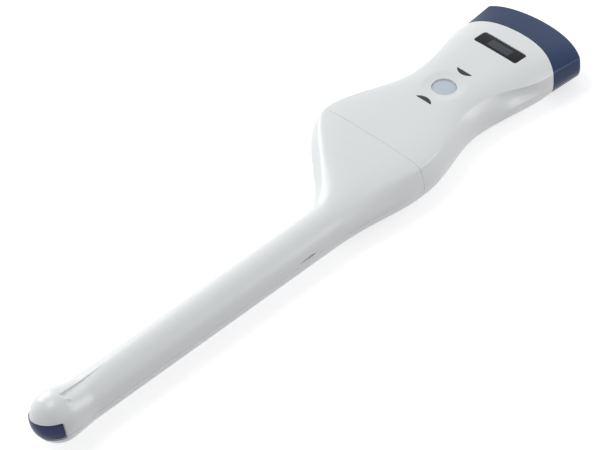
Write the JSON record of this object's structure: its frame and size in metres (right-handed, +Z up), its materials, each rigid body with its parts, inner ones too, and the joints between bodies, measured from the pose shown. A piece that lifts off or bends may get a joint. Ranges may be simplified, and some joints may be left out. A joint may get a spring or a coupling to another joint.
{
  "type": "wireless ultrasound probe",
  "caption": "Cordless handheld ultrasound probe: waisted handle with a convex head at one end and an offset long shaft with a ball-tipped cavity head at the other, with display and button.",
  "frame": {"origin": "centre of the bounding box at its bottom, under the handle's middle plane and halfway between the two heads", "axes": "+X along the probe towards the convex head, +Z up out of the face with the display and button, +Y to the side away from the shaft's offset"},
  "size_m": [0.397, 0.0759, 0.029],
  "materials": {
    "shell_white": "glossy pearl white moulding",
    "nose_navy": "glossy navy moulding",
    "lens_slate": "smooth slate silicone",
    "tip_navy": "smooth navy silicone",
    "seal_grey": "matt grey elastomer",
    "foam_dark": "dark foam and backing compound",
    "window_black": "clear hard coat over black",
    "panel_dark": "dark display panel",
    "button_blue": "satin light blue grey",
    "guide_smoke": "smoked translucent moulding",
    "led_yellow": "clear resin",
    "board_green": "green solder mask",
    "plug_ivory": "moulded ivory",
    "can_silver": "tinned sheet",
    "post_brass": "turned brass",
    "screw_steel": "plain steel",
    "pouch_foil": "pouch foil",
    "coil_copper": "enamelled copper",
    "ferrite_grey": "sintered sheet",
    "piezo_gold": "metallised ceramic",
    "flex_amber": "amber film",
    "sleeve_grey": "moulded pale grey",
    "cable_grey": "dark bundle jacket"
  },
  "bodies": {
    "housing": {"top_shell": "shell_white", "bottom_shell": "shell_white", "shell_gasket": "seal_grey", "convex_nose": "nose_navy", "convex_lens": "lens_slate", "convex_array": "piezo_gold", "convex_backing": "foam_dark", "convex_flex": "flex_amber", "display_window": "window_black", "display_gasket": "foam_dark", "display_module": "panel_dark", "button_seal": "seal_grey", "button_switch": "can_silver", "convex_light_guide": "guide_smoke", "cavity_light_guide": "guide_smoke", "indicator_leds": "led_yellow", "main_board": "board_green", "front_board": "board_green", "board_connector": "plug_ivory", "board_standoffs": "post_brass", "board_screws": "screw_steel", "processor_shield": "can_silver", "front_end_shield": "can_silver", "radio_module": "can_silver", "antenna": "plug_ivory", "battery_pack": "pouch_foil", "battery_pad": "foam_dark", "charging_coil": "coil_copper", "coil_ferrite": "ferrite_grey", "joint_sleeve": "sleeve_grey", "joint_seal": "seal_grey", "shaft_upper_shell": "shell_white", "shaft_lower_shell": "shell_white", "shaft_cable": "cable_grey", "cable_spacers": "sleeve_grey", "cable_connector": "plug_ivory", "cavity_lens": "tip_navy", "cavity_array": "piezo_gold", "cavity_backing": "foam_dark"},
    "button": {"power_button": "button_blue"}
  },
  "joints": [
    {"name": "button_press", "type": "slide", "parent": "housing", "child": "button", "axis": [0, 0, -1], "range_m": [0, 0.0004], "stiffness_N_per_m": 1500, "springref_m": -0.0008}
  ]
}
